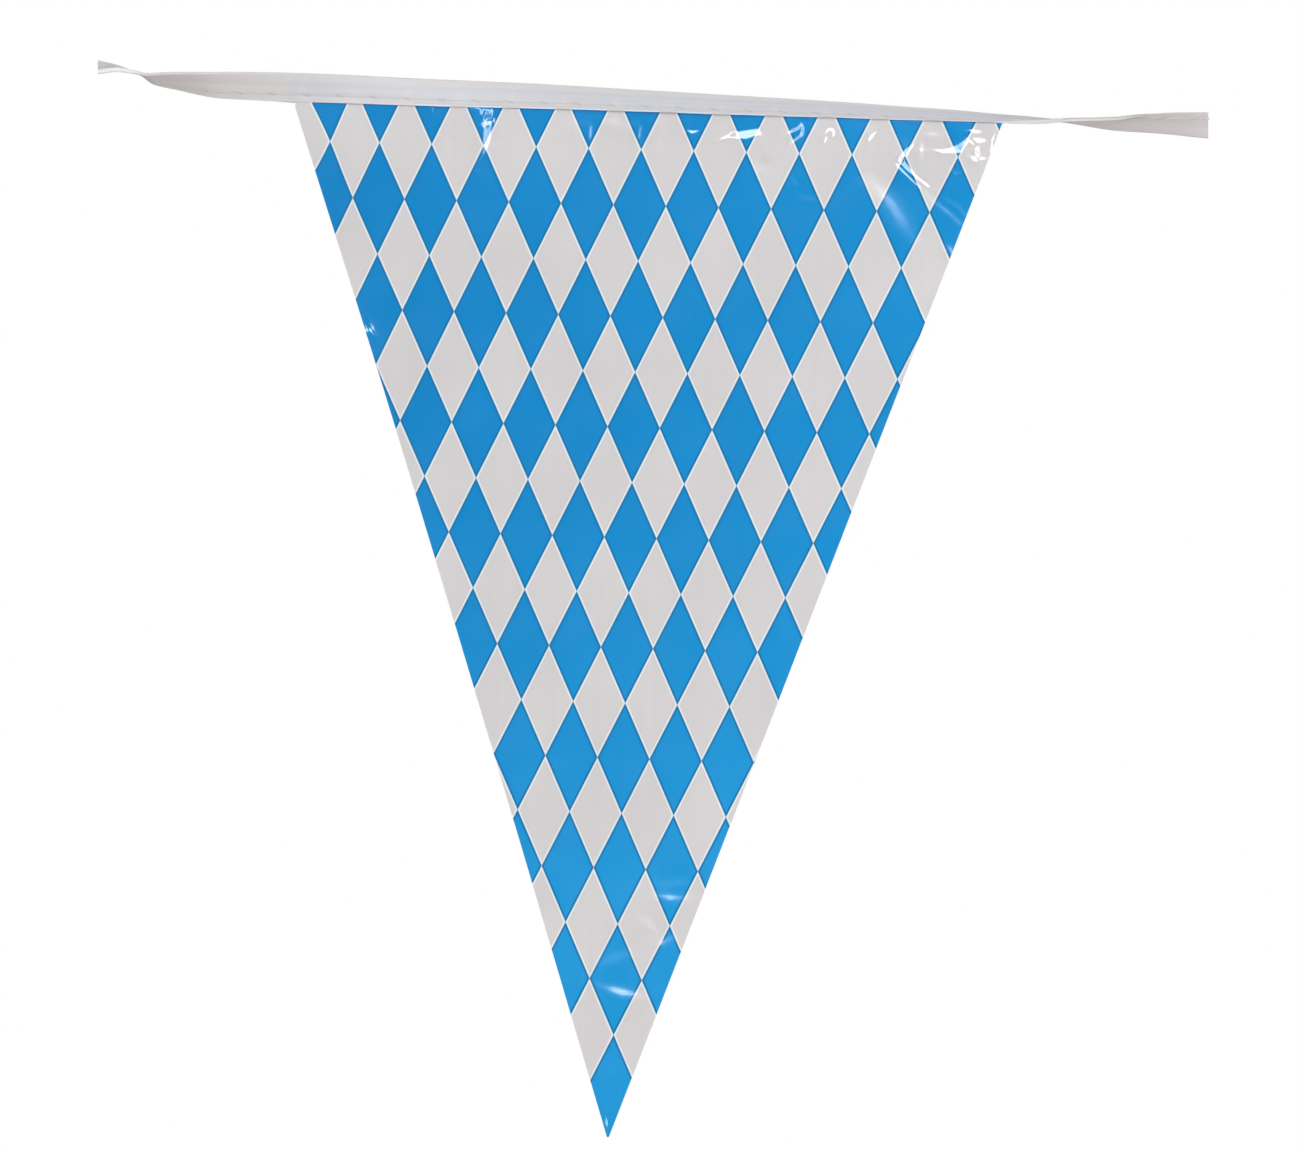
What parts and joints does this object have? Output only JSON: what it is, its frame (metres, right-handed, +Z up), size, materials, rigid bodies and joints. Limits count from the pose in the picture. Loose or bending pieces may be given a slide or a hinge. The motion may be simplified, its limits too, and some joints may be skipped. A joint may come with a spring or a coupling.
{
  "type": "hanging pennant of bunting on its heading tape",
  "caption": "Tall triangular pennant of glossy printed film hanging from a folded, sewn heading tape that runs on past it at both sides.",
  "frame": {"origin": "middle of the heading tape's top edge, on the outside of its fold", "axes": "+X along the tape to the viewer's right, +Y away from the viewer, +Z up, against the way the pennant hangs"},
  "size_m": [0.313, 0.0155, 0.3007],
  "materials": {
    "pennant_film": "thin glossy film printed with blue lozenges on white",
    "tape_film": "thin satin white film, folded and sewn"
  },
  "bodies": {
    "root": {"pennant": "pennant_film", "heading_tape": "tape_film"}
  },
  "joints": []
}
